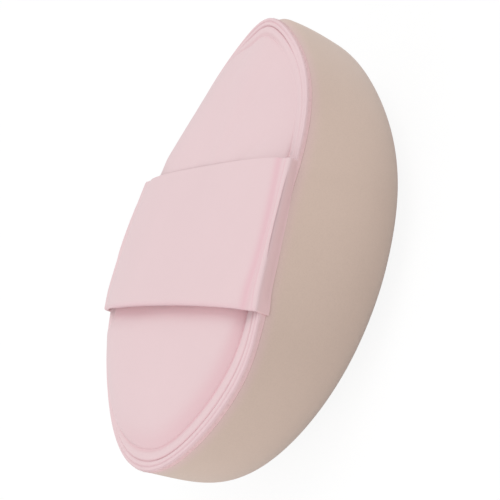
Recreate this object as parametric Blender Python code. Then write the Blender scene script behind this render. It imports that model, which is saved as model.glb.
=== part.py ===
"""Finger puff for applying make-up: a soft domed pad with a crowned leather back and a finger band.

The pad lies on its application face. X is the width, Y the length with the narrow tip at +Y, Z is up.
The origin is on the floor, under the middle of the pad's outline. All values are in metres.
"""
import bpy
import bmesh
import numpy as np
from mathutils import Matrix

MM = 0.001

# Running clearance between two neighbouring pieces
GAP = 0.3 * MM

# Outline of the rim, seen from above
LENGTH = 80.0 * MM
WIDTH = 61.2 * MM
END_TAPER = 0.072
TIP_DRAW = 0.388
TIP_POWER = 3.25
HEEL_DRAW = 0.155
HEEL_POWER = 2.0

# The waist, where the tight band draws the rim in and curls it up, and the turned-up tip
WAIST_DRAW = 4.35 * MM
WAIST_PLACE = 6.0 * MM
WAIST_REACH = 22.2 * MM
WAIST_POWER = 3.63
RIM_CURL = 2.3 * MM
CURL_PLACE = -1.7 * MM
CURL_REACH = 17.8 * MM
CURL_POWER = 2.8
TIP_RISE = 1.4 * MM
TIP_RISE_POWER = 4.4

# Domed pad below the rim
DOME_DEPTH = 21.0 * MM
DOME_POWER = 4.3
FACE_SHIFT = 1.6 * MM
FACE_CUT = 0.5 * MM

# Layers of the pad, from the outside in
SKIN_WALL = 2.0 * MM
FILM_WALL = 0.3 * MM

# Pressed back: crown, valley, rolled bead and binding
COVER_WALL = 0.8 * MM
CROWN_HEIGHT = 4.2 * MM
CROWN_TIP_HEIGHT = 3.2 * MM
CROWN_POWER = 2.2
CROWN_TIP_FALL = 0.20
CROWN_HEEL_FALL = 0.10
BEAD_WIDTH = 2.0 * MM
BEAD_HEIGHT = 0.25 * MM
BEAD_TIP_SHARE = 0.3
BEAD_HEEL_SHARE = 0.6
BEAD_END_POWER = 4
VALLEY_WIDTH = 0.7 * MM
VALLEY_SINK = 0.05 * MM
PRESSED_EDGE = 0.12 * MM
BINDING_WIDTH = 1.8 * MM
BINDING_BEAD_HEIGHT = 0.12 * MM
BINDING_LIP = 0.6 * MM
LIP_GROOVE = 0.14 * MM
WADDING_SETBACK = 1.0 * MM

# Finger band across the back: tight at its tip edge, open for a finger at its heel edge
BAND_WIDTH = 25.0 * MM
BAND_PLACE = -1.0 * MM
BAND_WALL = 0.55 * MM
BAND_SEAT = 1.4 * MM
FINGER_ROOM = 1.1 * MM
BAND_POWER = 2.1
LINING_WALL = 0.4 * MM
LINING_SETBACK = 0.6 * MM
END_OVERLAP = 5.6 * MM
END_LEDGE = 3.0 * MM
LEDGE_RISE = 0.4 * MM
FOLD_RADIUS = 0.8 * MM
END_TURN_DOWN = 2.5 * MM

# Fineness of the surfaces
ROUND_STEPS = 60
DOME_RINGS = 12
INNER_RINGS = 7
RING_CROWDING = 1.6
CROWN_RINGS = 7
CORE_TOP_RINGS = 3
UNDER_RINGS = 5
BEAD_STATIONS = (0.2, 0.5, 0.8)
BINDING_STATIONS = (0.25, 0.6)
LIP_CREST = 0.4
CREASE_ANGLE = 40
BAND_STEPS_ACROSS = 28
BAND_STEPS_ALONG = 8
END_ARCH_STEPS = 4
END_LEDGE_STEPS = 2
END_FOLD_STEPS = 4
END_SIDE_STEPS = 2

# Values that follow from the ones above
HALF_LENGTH = LENGTH / 2
HALF_WIDTH = WIDTH / 2
STACK = COVER_WALL + GAP
RIM_Z = STACK + DOME_DEPTH - FACE_CUT
FLAT_SHARE = 1 - FACE_CUT / DOME_DEPTH
BEAD_START = BINDING_WIDTH + GAP
PLIES = LINING_WALL + GAP + BAND_WALL
HEEL_CREST = CROWN_HEIGHT + FINGER_ROOM + PLIES
TIP_CREST = CROWN_TIP_HEIGHT + GAP + PLIES
BAND_STANDOFF = GAP + BAND_WALL
TURN = np.linspace(0, 2 * np.pi, ROUND_STEPS, endpoint=False)
TURN_NUDGE = 1e-4


def dome_fullness(share):
    """How wide a level of the dome is, from 1 under the rim to 0 at its full depth (a superellipse)."""
    return (1 - share**DOME_POWER) ** (1 / DOME_POWER)


def face_overhang():
    """How far the dome, shifted towards the tip as it goes down, reaches past the rim's tip."""
    share = np.linspace(0, 1, 201)
    return np.max(HALF_LENGTH * dome_fullness(share) + FACE_SHIFT * share) - HALF_LENGTH


CENTRE_Y = -face_overhang() / 2


def waist(y):
    """How far the band draws each side in at y, at the level of the rim."""
    return WAIST_DRAW * np.exp(-np.abs((y - WAIST_PLACE) / WAIST_REACH) ** WAIST_POWER)


def end_shape(s):
    """Narrowing of the outline towards its ends; s is -1 at the heel and 1 at the tip."""
    drawn = np.where(s > 0, TIP_DRAW * np.abs(s) ** TIP_POWER, HEEL_DRAW * np.abs(s) ** HEEL_POWER)
    return (1 - END_TAPER * s) * (1 - drawn)


def side_reach(y, share=0.0):
    """Half width of the pad at y, with the waist fading out as the share of the depth grows."""
    s = np.clip(y / HALF_LENGTH, -1, 1)
    straight = HALF_WIDTH * end_shape(s) * np.sqrt(1 - s**2)
    return straight - waist(y) * np.sqrt(1 - s**2) * (1 - share) ** 2


def outline(turn, share):
    """The pad's outline at these angles and this share of the depth, before the dome closes in."""
    y = HALF_LENGTH * np.sin(turn)
    half = HALF_WIDTH * end_shape(np.sin(turn)) - waist(y) * (1 - share) ** 2
    return np.stack([half * np.cos(turn), y], axis=1)


def inset_outline(inset, share=0.0):
    """The outline moved inwards, square to itself, by one inset or by one for each angle."""
    ahead = outline(TURN + TURN_NUDGE, share)
    behind = outline(TURN - TURN_NUDGE, share)
    along = (ahead - behind) / np.linalg.norm(ahead - behind, axis=1, keepdims=True)
    inwards = np.stack([-along[:, 1], along[:, 0]], axis=1)
    return outline(TURN, share) + np.reshape(inset, (-1, 1)) * inwards


def curl(x, y):
    """How far the back is lifted at x, y: by the tight band at the sides, and at the turned-up tip."""
    across = np.clip(np.abs(x) / np.maximum(side_reach(y), GAP), 0, 1)
    bell = np.exp(-np.abs((y - CURL_PLACE) / CURL_REACH) ** CURL_POWER)
    tip = np.clip(y / HALF_LENGTH, 0, 1) ** TIP_RISE_POWER
    return RIM_CURL * bell * across**2 + TIP_RISE * tip


def bead_share():
    """Share of its full width that the rolled bead has at each angle: it narrows towards both ends."""
    end = np.where(np.sin(TURN) > 0, BEAD_TIP_SHARE, BEAD_HEEL_SHARE)
    return 1 - (1 - end) * np.abs(np.sin(TURN)) ** BEAD_END_POWER


def flange_width():
    """Width of the whole pressed rim at each angle, from its edge to the foot of the crown."""
    return BEAD_START + (BEAD_WIDTH + VALLEY_WIDTH) * bead_share()


def placed(x, y, z):
    """Points as one array, in the part's own frame."""
    return np.stack([x, y + CENTRE_Y, z], axis=1)


def rim_ring(inset, height):
    """A ring of the back at this inset from the rim's edge and this height over the rim's plane."""
    flat = inset_outline(inset)
    return placed(flat[:, 0], flat[:, 1], RIM_Z + height + curl(flat[:, 0], flat[:, 1]))


def across_band(y):
    """Place across the band at y: 0 at its heel edge and before it, 1 at its tip edge and past it."""
    return np.clip((y - BAND_PLACE) / BAND_WIDTH + 0.5, 0, 1)


def crown_height(radial, y):
    """Height of the crowned face: radial is 1 at its edge.

    The tight edge of the band presses the crown down towards the tip, in an S-curve under the band,
    and it falls off towards both ends.
    """
    t = across_band(y)
    full = CROWN_HEIGHT + (CROWN_TIP_HEIGHT - CROWN_HEIGHT) * t**2 * (3 - 2 * t)
    fall = np.where(y > 0, CROWN_TIP_FALL, CROWN_HEEL_FALL) * (y / HALF_LENGTH) ** 2
    return full * (1 - radial**CROWN_POWER) ** (1 / CROWN_POWER) * (1 - fall)


def crown_ring(inset, radial, sink, crowned=True):
    """A ring over the back, radial times as wide as the outline at inset, and sink below the crown."""
    flat = inset_outline(inset) * radial
    edge = inset_outline(flange_width())
    share = np.linalg.norm(flat, axis=1) / np.linalg.norm(edge, axis=1)
    rise = crown_height(np.clip(share, 0, 1), flat[:, 1]) if crowned else 0
    return placed(flat[:, 0], flat[:, 1], RIM_Z - sink + rise + curl(flat[:, 0], flat[:, 1]))


def dome_ring(inset, share):
    """A ring of the dome, inset from its outside, at this share of its depth; flat past the face's cut."""
    flat = inset_outline(inset, share)
    full = dome_fullness(share)
    lift = curl(flat[:, 0], flat[:, 1]) * np.clip(1 - share / FLAT_SHARE, 0, 1)
    level = RIM_Z - STACK - (DOME_DEPTH - inset) * share
    return placed(flat[:, 0] * full, flat[:, 1] * full + FACE_SHIFT * share, level + lift)


def dome_shares(last, count):
    """Shares of the depth for the rings, closer together where the dome turns under."""
    return last * (1 - (1 - np.linspace(0, 1, count)) ** RING_CROWDING)


def cup_rings(inset):
    """The rings of an inner layer of the dome, and the point that closes it at the bottom."""
    rings = [dome_ring(inset, share) for share in dome_shares(1.0, INNER_RINGS)[:-1]]
    return [*rings, middle(rings[-1], RIM_Z - STACK - (DOME_DEPTH - inset))]


def middle(ring, height=None):
    """The point in the middle of a ring, at the ring's own mean height or at a given one."""
    point = ring.mean(axis=0)
    if height is not None:
        point[2] = height
    return point[None, :]


def material(name, colour, roughness):
    """A plain material with the piece's own colour."""
    mat = bpy.data.materials.new(name)
    mat.use_nodes = True
    shader = mat.node_tree.nodes["Principled BSDF"]
    shader.inputs["Base Color"].default_value = (*colour, 1)
    shader.inputs["Roughness"].default_value = roughness
    shader.inputs["Metallic"].default_value = 0.0
    return mat


def finished(mesh, name, mat):
    """The mesh as an object in the scene, shaded smooth with crisp edges over the crease angle."""
    mesh.materials.append(mat)
    mesh.shade_smooth()
    mesh.set_sharp_from_angle(angle=np.radians(CREASE_ANGLE))
    obj = bpy.data.objects.new(name, mesh)
    bpy.context.scene.collection.objects.link(obj)
    return obj


def loft(name, rings, mat, ring_closed=False):
    """A closed body through rings of points; a ring of one point closes an end as a pole."""
    work = bmesh.new()
    rows = [[work.verts.new(point) for point in ring] for ring in rings]
    pairs = list(zip(rows, rows[1:]))
    if ring_closed:
        pairs.append((rows[-1], rows[0]))
    for upper, lower in pairs:
        for i in range(ROUND_STEPS):
            j = (i + 1) % ROUND_STEPS
            if len(upper) == 1:
                work.faces.new((upper[0], lower[i], lower[j]))
            elif len(lower) == 1:
                work.faces.new((upper[i], upper[j], lower[0]))
            else:
                work.faces.new((upper[i], upper[j], lower[j], lower[i]))
    bmesh.ops.recalc_face_normals(work, faces=work.faces)
    mesh = bpy.data.meshes.new(name)
    work.to_mesh(mesh)
    work.free()
    return finished(mesh, name, mat)


def sheet(name, grid, thickness, mat, carrier=None):
    """A sheet through a grid of points, given its thickness on the side towards the pad.

    A sheet with a carrier hangs on that empty, with its own origin there.
    """
    rows, columns = grid.shape[:2]
    work = bmesh.new()
    verts = [[work.verts.new(grid[i, j]) for j in range(columns)] for i in range(rows)]
    for i in range(rows - 1):
        for j in range(columns - 1):
            work.faces.new((verts[i][j], verts[i + 1][j], verts[i + 1][j + 1], verts[i][j + 1]))
    mesh = bpy.data.meshes.new(name)
    work.to_mesh(mesh)
    work.free()
    obj = finished(mesh, name, mat)
    wall = obj.modifiers.new("wall", "SOLIDIFY")
    wall.thickness = thickness
    wall.offset = -1
    wall.use_even_offset = True
    if carrier is not None:
        mesh.transform(Matrix.Translation(-carrier.location))
        obj.parent = carrier
    return obj


def applicator_skin(mat):
    """The outer sponge layer: a thick cup, cut flat where it lies on its application face."""
    outer = [dome_ring(0.0, share) for share in dome_shares(FLAT_SHARE, DOME_RINGS)]
    return loft("applicator_skin", [middle(outer[-1]), *outer[::-1], *cup_rings(SKIN_WALL)], mat)


def barrier_film(mat):
    """The thin film inside the skin that keeps make-up out of the core."""
    outside = SKIN_WALL + GAP
    inside = outside + FILM_WALL
    return loft("barrier_film", [*cup_rings(outside)[::-1], *cup_rings(inside)], mat)


def foam_core(mat):
    """The thick cushion that fills the cup."""
    inset = SKIN_WALL + FILM_WALL + 2 * GAP
    spread = np.linspace(1, 0, CORE_TOP_RINGS + 2)[1:-1]
    top = [crown_ring(inset, radial, STACK, crowned=False) for radial in spread]
    return loft("foam_core", [*cup_rings(inset)[::-1], *top, middle(top[-1])], mat)


def back_wadding(mat):
    """The lens of wadding that fills the crown between the core and the back cover."""
    inset = flange_width() + WADDING_SETBACK
    spread = np.linspace(1, 0, UNDER_RINGS + 1)[:-1]
    upper = [crown_ring(inset, radial, STACK) for radial in spread]
    lower = [crown_ring(inset, radial, COVER_WALL, crowned=False) for radial in spread]
    over = middle(upper[-1], RIM_Z - STACK + crown_height(0, 0))
    return loft("back_wadding", [over, *upper[::-1], *lower, middle(lower[-1])], mat)


def back_cover(mat):
    """The pressed leather back: cut edge, rolled bead, valley and crowned face, as one closed sheet."""
    rolled = [
        (BEAD_START + BEAD_WIDTH * bead_share() * across, BEAD_HEIGHT * np.sin(np.pi * across))
        for across in BEAD_STATIONS
    ]
    valley = BEAD_START + (BEAD_WIDTH + VALLEY_WIDTH / 2) * bead_share()
    profile = [(BEAD_START, -COVER_WALL), (BEAD_START, -PRESSED_EDGE), *rolled, (valley, -VALLEY_SINK)]
    rim = [rim_ring(inset, height) for inset, height in profile]
    spread = np.cos(np.linspace(0, np.pi / 2, CROWN_RINGS + 1)[:-1])
    face = [crown_ring(flange_width(), radial, 0.0) for radial in spread]
    top = RIM_Z + crown_height(0, 0)
    below = np.cos(np.linspace(0, np.pi / 2, UNDER_RINGS + 1)[:-1])
    under = [crown_ring(flange_width(), radial, COVER_WALL) for radial in below]
    rings = [middle(face[-1], top), *face[::-1], *rim[::-1], *under, middle(under[-1], top - COVER_WALL)]
    return loft("back_cover", rings, mat)


def edge_binding(mat):
    """The ring round the cut edge: a rounded inner bead, a fine groove, a lip and the side strip."""
    bead = BINDING_WIDTH - BINDING_LIP
    rolled = [
        (BINDING_LIP + bead * across, BINDING_BEAD_HEIGHT * np.sin(np.pi * across))
        for across in BINDING_STATIONS
    ]
    profile = [
        (0.0, -COVER_WALL),
        (0.0, -LIP_GROOVE),
        (BINDING_LIP * LIP_CREST, 0.0),
        (BINDING_LIP, -LIP_GROOVE),
        *rolled,
        (BINDING_WIDTH, -PRESSED_EDGE),
        (BINDING_WIDTH, -COVER_WALL),
    ]
    return loft("edge_binding", [rim_ring(*point) for point in profile], mat, ring_closed=True)


def fold_height(y):
    """Height of the band's folded ends over the rim's plane: seated on the rim, which curls up there."""
    return BAND_SEAT + curl(side_reach(y), y)


def ledge_start(y):
    """How far out the arch of the band reaches at y, up to the ledge that lies on the rim."""
    return side_reach(y) + BAND_STANDOFF - END_LEDGE


def arch_point(x, y, depth):
    """A point of the band's arch at x, y, depth below its top ply.

    The arch is a superellipse over the crown, and its crest comes down from the heel edge, where a
    finger goes in, to the tip edge, where the band lies tight.
    """
    foot = fold_height(y) + LEDGE_RISE
    crest = HEEL_CREST + (TIP_CREST - HEEL_CREST) * across_band(y)
    share = np.clip(np.abs(x) / ledge_start(y), 0, 1)
    z = RIM_Z + foot + (crest - foot) * (1 - share**BAND_POWER) ** (1 / BAND_POWER) - depth
    return np.stack([x, y + CENTRE_Y, z], axis=-1)


def panel_half_length():
    """How far the band's free middle reaches to each side, up to where its ends begin."""
    return side_reach(BAND_PLACE) - END_OVERLAP


def band_grid(setback, depth):
    """Grid over the back for the band's top ply, or for its lining, depth below and narrower by setback."""
    y = BAND_PLACE + (BAND_WIDTH / 2 - setback) * np.linspace(-1, 1, BAND_STEPS_ALONG + 1)
    x = panel_half_length() * np.sin(np.linspace(-np.pi / 2, np.pi / 2, BAND_STEPS_ACROSS + 1))
    return arch_point(*np.meshgrid(x, y, indexing="ij"), depth)


def band_lift_axis():
    """The empty on the line along which the free middle of the band lifts off the back."""
    empty = bpy.data.objects.new("band_lift", None)
    empty.location = (0, BAND_PLACE + CENTRE_Y, RIM_Z + CROWN_HEIGHT)
    bpy.context.scene.collection.objects.link(empty)
    return empty


def finger_band(mat, carrier):
    """The free middle of the band, which lifts off the back when a finger goes under it."""
    return sheet("finger_band", band_grid(0.0, 0.0), BAND_WALL, mat, carrier)


def band_lining(mat, carrier):
    """The inner ply that the finger feels, set back from the band's folded edges."""
    grid = band_grid(LINING_SETBACK, BAND_WALL + GAP)
    return sheet("band_lining", grid, LINING_WALL, mat, carrier)


def end_rows(y):
    """The rows of points of the band's right end at y: arch, ledge, fold and turned-down side."""
    reach = side_reach(y) + BAND_STANDOFF
    fold = RIM_Z + fold_height(y)
    start = panel_half_length() + GAP
    rows = []
    for step in np.linspace(0, 1, END_ARCH_STEPS + 1):
        place = start + (ledge_start(y) - start) * np.sin(np.pi / 2 * step)
        rows.append(arch_point(place, y, 0.0))
    for step in np.linspace(0, 1, END_LEDGE_STEPS + 1)[1:]:
        place = ledge_start(y) + (END_LEDGE - FOLD_RADIUS) * step
        rows.append(np.stack([place, y + CENTRE_Y, fold + LEDGE_RISE * (1 - step)], axis=-1))
    for turn in np.linspace(0, np.pi / 2, END_FOLD_STEPS + 1)[1:]:
        place = reach - FOLD_RADIUS * (1 - np.sin(turn))
        rows.append(np.stack([place, y + CENTRE_Y, fold - FOLD_RADIUS * (1 - np.cos(turn))], axis=-1))
    for step in np.linspace(0, 1, END_SIDE_STEPS + 1)[1:]:
        down = FOLD_RADIUS + (END_TURN_DOWN - FOLD_RADIUS) * step
        rows.append(np.stack([reach, y + CENTRE_Y, fold - down], axis=-1))
    return rows


def band_end(name, side, mat):
    """One end of the band: from the panel over the rim, then turned down against the side of the pad."""
    y = BAND_PLACE + BAND_WIDTH / 2 * np.linspace(-1, 1, BAND_STEPS_ALONG + 1)
    grid = np.stack(end_rows(y), axis=0)
    grid[..., 0] *= side
    return sheet(name, grid if side > 0 else grid[::-1], BAND_WALL, mat)


def clear_scene():
    """Remove what the scene holds."""
    for obj in list(bpy.data.objects):
        bpy.data.objects.remove(obj, do_unlink=True)


def main():
    """Build every piece of the puff."""
    clear_scene()
    sponge = material("sponge", (0.56, 0.42, 0.34), 0.95)
    film = material("film", (0.85, 0.85, 0.83), 0.35)
    foam = material("foam", (0.82, 0.78, 0.68), 0.95)
    wadding = material("wadding", (0.88, 0.86, 0.84), 0.95)
    leather = material("leather", (0.80, 0.60, 0.63), 0.55)
    ribbon = material("ribbon", (0.80, 0.61, 0.64), 0.50)
    tape = material("tape", (0.78, 0.62, 0.64), 0.80)
    applicator_skin(sponge)
    barrier_film(film)
    foam_core(foam)
    back_wadding(wadding)
    back_cover(leather)
    edge_binding(leather)
    lift = band_lift_axis()
    finger_band(ribbon, lift)
    band_lining(tape, lift)
    band_end("band_end_right", 1, ribbon)
    band_end("band_end_left", -1, ribbon)


if __name__ == "__main__":
    main()
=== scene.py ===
"""Makeup puff: a domed sponge pad, a pressed leather back and a finger band, dressed on its frame.

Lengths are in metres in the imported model's frame: X across, Y towards the narrow tip, Z up from the
application face. Each layer of the pad is a surface of two parameters: the turn round the outline,
and how far in, down or up the layer lies. The band is a surface of the place along and across it.
"""
from __future__ import annotations

import logging
from dataclasses import dataclass, field
from enum import Enum

import bmesh
import bpy
import numpy as np
from mathutils import Matrix, Vector


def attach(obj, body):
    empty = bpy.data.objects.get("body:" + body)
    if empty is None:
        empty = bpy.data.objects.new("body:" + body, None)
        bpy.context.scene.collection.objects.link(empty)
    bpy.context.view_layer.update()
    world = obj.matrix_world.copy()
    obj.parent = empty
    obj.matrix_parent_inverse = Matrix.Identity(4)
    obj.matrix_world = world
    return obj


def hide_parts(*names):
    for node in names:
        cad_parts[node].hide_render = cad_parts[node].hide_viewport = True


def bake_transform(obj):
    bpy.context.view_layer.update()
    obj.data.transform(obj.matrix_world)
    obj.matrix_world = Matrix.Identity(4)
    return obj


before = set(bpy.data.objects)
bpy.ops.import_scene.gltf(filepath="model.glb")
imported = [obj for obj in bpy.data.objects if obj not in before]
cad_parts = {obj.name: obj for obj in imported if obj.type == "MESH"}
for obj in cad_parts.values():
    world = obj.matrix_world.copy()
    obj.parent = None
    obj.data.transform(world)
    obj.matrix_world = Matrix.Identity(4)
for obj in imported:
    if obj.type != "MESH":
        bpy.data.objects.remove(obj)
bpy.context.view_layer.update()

MM = 0.001
QUARTER = np.pi / 2
WHITE = (1.0, 1.0, 1.0, 1.0)
LOG = logging.getLogger("puff")
Points = np.ndarray
Piece = bpy.types.Object
Material = bpy.types.Material
Socket = bpy.types.NodeSocket
Colour = tuple[int, int, int]
Pair = tuple[float, float]
Triple = tuple[float, float, float]


class Side(Enum):
    """The two ends of the finger band, as signs of X."""

    RIGHT = 1
    LEFT = -1


class Grain(Enum):
    """What the fine relief of a finish is made of."""

    PEBBLE = "pebble"
    PORES = "pores"
    FIBRE = "fibre"
    WEAVE = "weave"
    SMOOTH = "smooth"


def linear(colour: Colour) -> tuple[float, float, float, float]:
    """A colour as it shows on screen, in 255ths, turned into the shader's own scale.

    Args:
        colour: Red, green and blue from 0 to 255.

    Returns:
        The same colour with the screen's curve taken out, and an alpha of 1.
    """
    share = np.array(colour) / 255
    plain = np.where(share <= 0.04045, share / 12.92, ((share + 0.055) / 1.055) ** 2.4)
    return (*plain.tolist(), 1.0)


def eased(share: Points | float) -> Points:
    """A smooth step: 0 below 0, 1 above 1, and 3 s squared less 2 s cubed between."""
    s = np.clip(share, 0, 1)
    return s * s * (3 - 2 * s)


def ramp(value: Points | float, start: float, run: float) -> Points:
    """A smooth step that begins at start and is done one run further on."""
    return eased((value - start) / run)


def slope(value: Points | float, start: float, run: float) -> Points:
    """A straight step that begins at start and is done one run further on."""
    return np.clip((value - start) / run, 0, 1)


def bell(distance: Points | float, reach: float, power: float = 2) -> Points:
    """A bell: exp of minus a power of the distance, which is measured in reaches."""
    return np.exp(-np.abs(distance / reach) ** power)


def hump(value: Points | float, size: Triple, power: float = 2) -> Points:
    """A bell whose size gives its place, its half width and its height."""
    place, half, height = size
    return height * bell(value - place, half, power)


def between(first: Points | float, last: Points | float, share: Points | float) -> Points:
    """The value at this share of the way from the first to the last."""
    return first + (last - first) * share


def pole(ring: Points) -> Points:
    """A ring with all its points in the middle of this one, which closes an end."""
    return np.broadcast_to(ring.mean(axis=0), ring.shape)


def shrunk(ring: Points, middle: Points, count: int) -> list[Points]:
    """Smaller copies of a ring, evenly down to its middle."""
    return [middle + (ring - middle) * scale for scale in np.linspace(1, 0, count)[1:]]


def linked(name: str, data: bpy.types.ID) -> Piece:
    """Make an object and link it to the scene.

    Args:
        name: The object's name.
        data: Its mesh, light or camera.

    Returns:
        The object.
    """
    obj = bpy.data.objects.new(name, data)
    bpy.context.scene.collection.objects.link(obj)
    return obj


@dataclass
class Graph:
    """The nodes of a material or a world, each added and fed in one call.

    The coordinates that its patterns read are set once, for a material.
    """

    tree: bpy.types.NodeTree
    where: Socket | None = None

    def feed(self, node: bpy.types.Node, inputs: dict[str | int, object]) -> None:
        """Give inputs of a node, by name or number, a constant or another node's output."""
        for key, value in inputs.items():
            if isinstance(value, Socket):
                self.tree.links.new(value, node.inputs[key])
            else:
                node.inputs[key].default_value = value

    def add(self, kind: str, output: str, inputs: dict[str | int, object] | None = None,
            **settings: str) -> Socket:
        """Add a node.

        Args:
            kind: The node's type, without its first word.
            output: The name of the output to hand back.
            inputs: What the inputs get, as feed takes it.
            settings: The node's own settings.

        Returns:
            The output.
        """
        node = self.tree.nodes.new(f"ShaderNode{kind}")
        for word, value in settings.items():
            setattr(node, word, value)
        self.feed(node, inputs or {})
        return node.outputs[output]

    def noise(self, size: float, detail: float) -> Socket:
        """A soft noise whose lumps are about size across, with so many finer octaves."""
        inputs = {"Vector": self.where, "Scale": 1 / size, "Detail": detail}
        return self.add("TexNoise", "Fac", inputs)

    def cells(self, size: float) -> Socket:
        """Distance from the middle of each of many small cells, about size across."""
        inputs = {"Vector": self.where, "Scale": 1 / size, "Smoothness": 0.6}
        return self.add("TexVoronoi", "Distance", inputs, feature="SMOOTH_F1")

    def threads(self, axis: str, size: float) -> Socket:
        """Threads across an axis, one every size; a wave repeats every 0.314 m over its scale."""
        inputs = {"Vector": self.where, "Scale": 0.314 / size, "Distortion": 0.6}
        return self.add("TexWave", "Fac", inputs, bands_direction=axis)

    def total(self, first: Socket, second: Socket, share: float) -> Socket:
        """The first height with a share of the second added."""
        return self.add("Math", "Value", {0: second, 1: share, 2: first}, operation="MULTIPLY_ADD")

    def product(self, first: Socket, second: Socket | float) -> Socket:
        """The first value times the second."""
        return self.add("Math", "Value", {0: first, 1: second}, operation="MULTIPLY")


@dataclass(frozen=True)
class Finish:
    """One finish of the puff: its colour, how it shines, and the relief that its surface has.

    The colour drifts softly over a large scale and flickers a little at the scale of the grain.
    Where a piece has a groove attribute, the colour goes over to the deep one as that nears 1:
    painted shade in the grooves, seam and valley of the rim and band and on the band's heel hem,
    and a pinker upper edge on the sponge. Where it has a nap attribute, it goes over to the raw one:
    the cut edge's own colour, and on the crown a painted pink glow in the shade under the band.
    """

    name: str
    colour: Colour
    deep: Colour
    raw: Colour = (240, 203, 204)
    roughness: float = 0.6
    sheen: float = 0.0
    sheen_roughness: float = 0.4
    grain: Grain = Grain.PEBBLE
    grain_size: float = 0.25 * MM
    relief: float = 0.02 * MM
    drift: float = 0.02
    drift_size: float = 14 * MM
    flicker: float = 0.02
    translucence: float = 0.0
    specular: float = 0.4

    def material(self) -> Material:
        """Build the finish as a node material on Object coordinates.

        Returns:
            The material, new in the file.
        """
        mat = bpy.data.materials.new(self.name)
        mat.use_nodes = True
        graph = Graph(mat.node_tree)
        graph.where = graph.add("TexCoord", "Object")
        height = self._relief(graph)
        bump = {"Strength": 1.0, "Distance": self.relief, "Height": height}
        graph.feed(mat.node_tree.nodes["Principled BSDF"], {
            "Base Color": self._tint(graph, height),
            "Normal": graph.add("Bump", "Normal", bump),
            "Roughness": self.roughness,
            "Specular IOR Level": self.specular,
            "Sheen Weight": self.sheen,
            "Sheen Roughness": self.sheen_roughness,
            "Transmission Weight": self.translucence,
        })
        return mat

    def _relief(self, graph: Graph) -> Socket:
        """The height of the grain.

        Args:
            graph: The material's nodes.

        Returns:
            The height, from 0 to about 1.
        """
        size = self.grain_size
        if self.grain is Grain.PORES:
            return graph.total(graph.cells(size), graph.noise(size / 2, 4.0), 0.8)
        if self.grain is Grain.WEAVE:
            return graph.total(graph.threads("X", size), graph.threads("Y", size), 1.0)
        lumps = graph.noise(6 * size, 3.0)
        if self.grain is Grain.PEBBLE:
            return graph.total(graph.cells(size), lumps, 0.6)
        if self.grain is Grain.FIBRE:
            return graph.total(lumps, graph.noise(0.6 * size, 6.0), 0.9)
        return lumps

    def _tint(self, graph: Graph, height: Socket) -> Socket:
        """The colour: painted shade in the grooves, the raw cut edge and a painted glow on the crown,
        with its drift and flicker.

        Args:
            graph: The material's nodes.
            height: The relief, whose hollows are a little darker.

        Returns:
            The colour for the shader.
        """
        base = linear(self.colour)
        # groove carries painted shade and the sponge's pinker edge; nap carries the raw cut edge and,
        # on the crown, a painted glow
        for attribute, colour in (("groove", self.deep), ("nap", self.raw)):
            share = graph.add("Attribute", "Fac", attribute_name=attribute)
            mix = {"Factor": share, "A": base, "B": linear(colour)}
            base = graph.add("Mix", "Result", mix, data_type="RGBA")
        soft = graph.noise(self.drift_size, 2.0)
        swings = ((soft, 0.25, 0.75, self.drift), (height, 0.0, 1.0, self.flicker))
        levels = []
        for value, least, most, swing in swings:
            span = {"Value": value, "From Min": least, "From Max": most}
            span |= {"To Min": 1 - swing, "To Max": 1 + swing}
            levels.append(graph.add("MapRange", "Result", span))
        tint = {0: base, "Scale": graph.product(*levels)}
        return graph.add("VectorMath", "Vector", tint, operation="SCALE")


@dataclass(frozen=True)
class Finishes:
    """Every finish of the puff."""

    # Its deep colour is painted shade in the rim's valley, grooves and seam; its raw colour is a
    # painted pink glow under the band's heel edge.
    leather: Finish = Finish(
        "pressed_leather", (231, 204, 207), (227, 187, 193), (255, 208, 214), roughness=0.62,
        sheen=0.25, grain_size=0.22 * MM, relief=0.006 * MM, drift=0.010, flicker=0.010,
        specular=0.25)
    # Its deep colour is painted shade in the band's valley, fine groove and heel hem.
    band: Finish = Finish(
        "band_leather", (231, 204, 207), (229, 187, 195), roughness=0.6, sheen=0.25,
        grain_size=0.20 * MM, relief=0.005 * MM, drift=0.010, flicker=0.010, specular=0.25)
    # Its deep colour is painted shade in the rim's grooves and seam.
    binding: Finish = Finish(
        "binding_leather", (231, 204, 207), (210, 166, 175), roughness=0.7, sheen=0.2,
        grain=Grain.FIBRE, grain_size=0.16 * MM, relief=0.015 * MM, drift=0.012, specular=0.2)
    nap: Finish = Finish(
        "edge_nap", (226, 202, 204), (206, 176, 180), roughness=0.9, sheen=0.3, grain=Grain.FIBRE,
        grain_size=0.1 * MM, relief=0.004 * MM, drift=0.05, flicker=0.03, specular=0.1)
    sponge: Finish = Finish(
        "sponge", (216, 193, 179), (222, 193, 188), roughness=0.95, sheen=0.35, sheen_roughness=0.5,
        grain=Grain.PORES, grain_size=0.30 * MM, drift=0.015, flicker=0.03, specular=0.08)
    film: Finish = Finish(
        "film", (232, 232, 228), (220, 220, 216), roughness=0.3, grain=Grain.SMOOTH,
        relief=0.01 * MM, translucence=0.6, specular=0.5)
    foam: Finish = Finish(
        "foam", (236, 230, 212), (214, 206, 186), roughness=0.95, sheen=0.2, grain=Grain.PORES,
        grain_size=0.7 * MM, relief=0.08 * MM, flicker=0.06, specular=0.1)
    wadding: Finish = Finish(
        "wadding", (240, 238, 234), (222, 218, 212), roughness=0.95, sheen=0.4, grain=Grain.FIBRE,
        grain_size=0.35 * MM, relief=0.09 * MM, flicker=0.05, specular=0.1)
    lining: Finish = Finish(
        "band_lining", (228, 200, 205), (206, 176, 182), roughness=0.85, sheen=0.3,
        grain=Grain.WEAVE, grain_size=0.35 * MM, flicker=0.03, specular=0.15)


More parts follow.
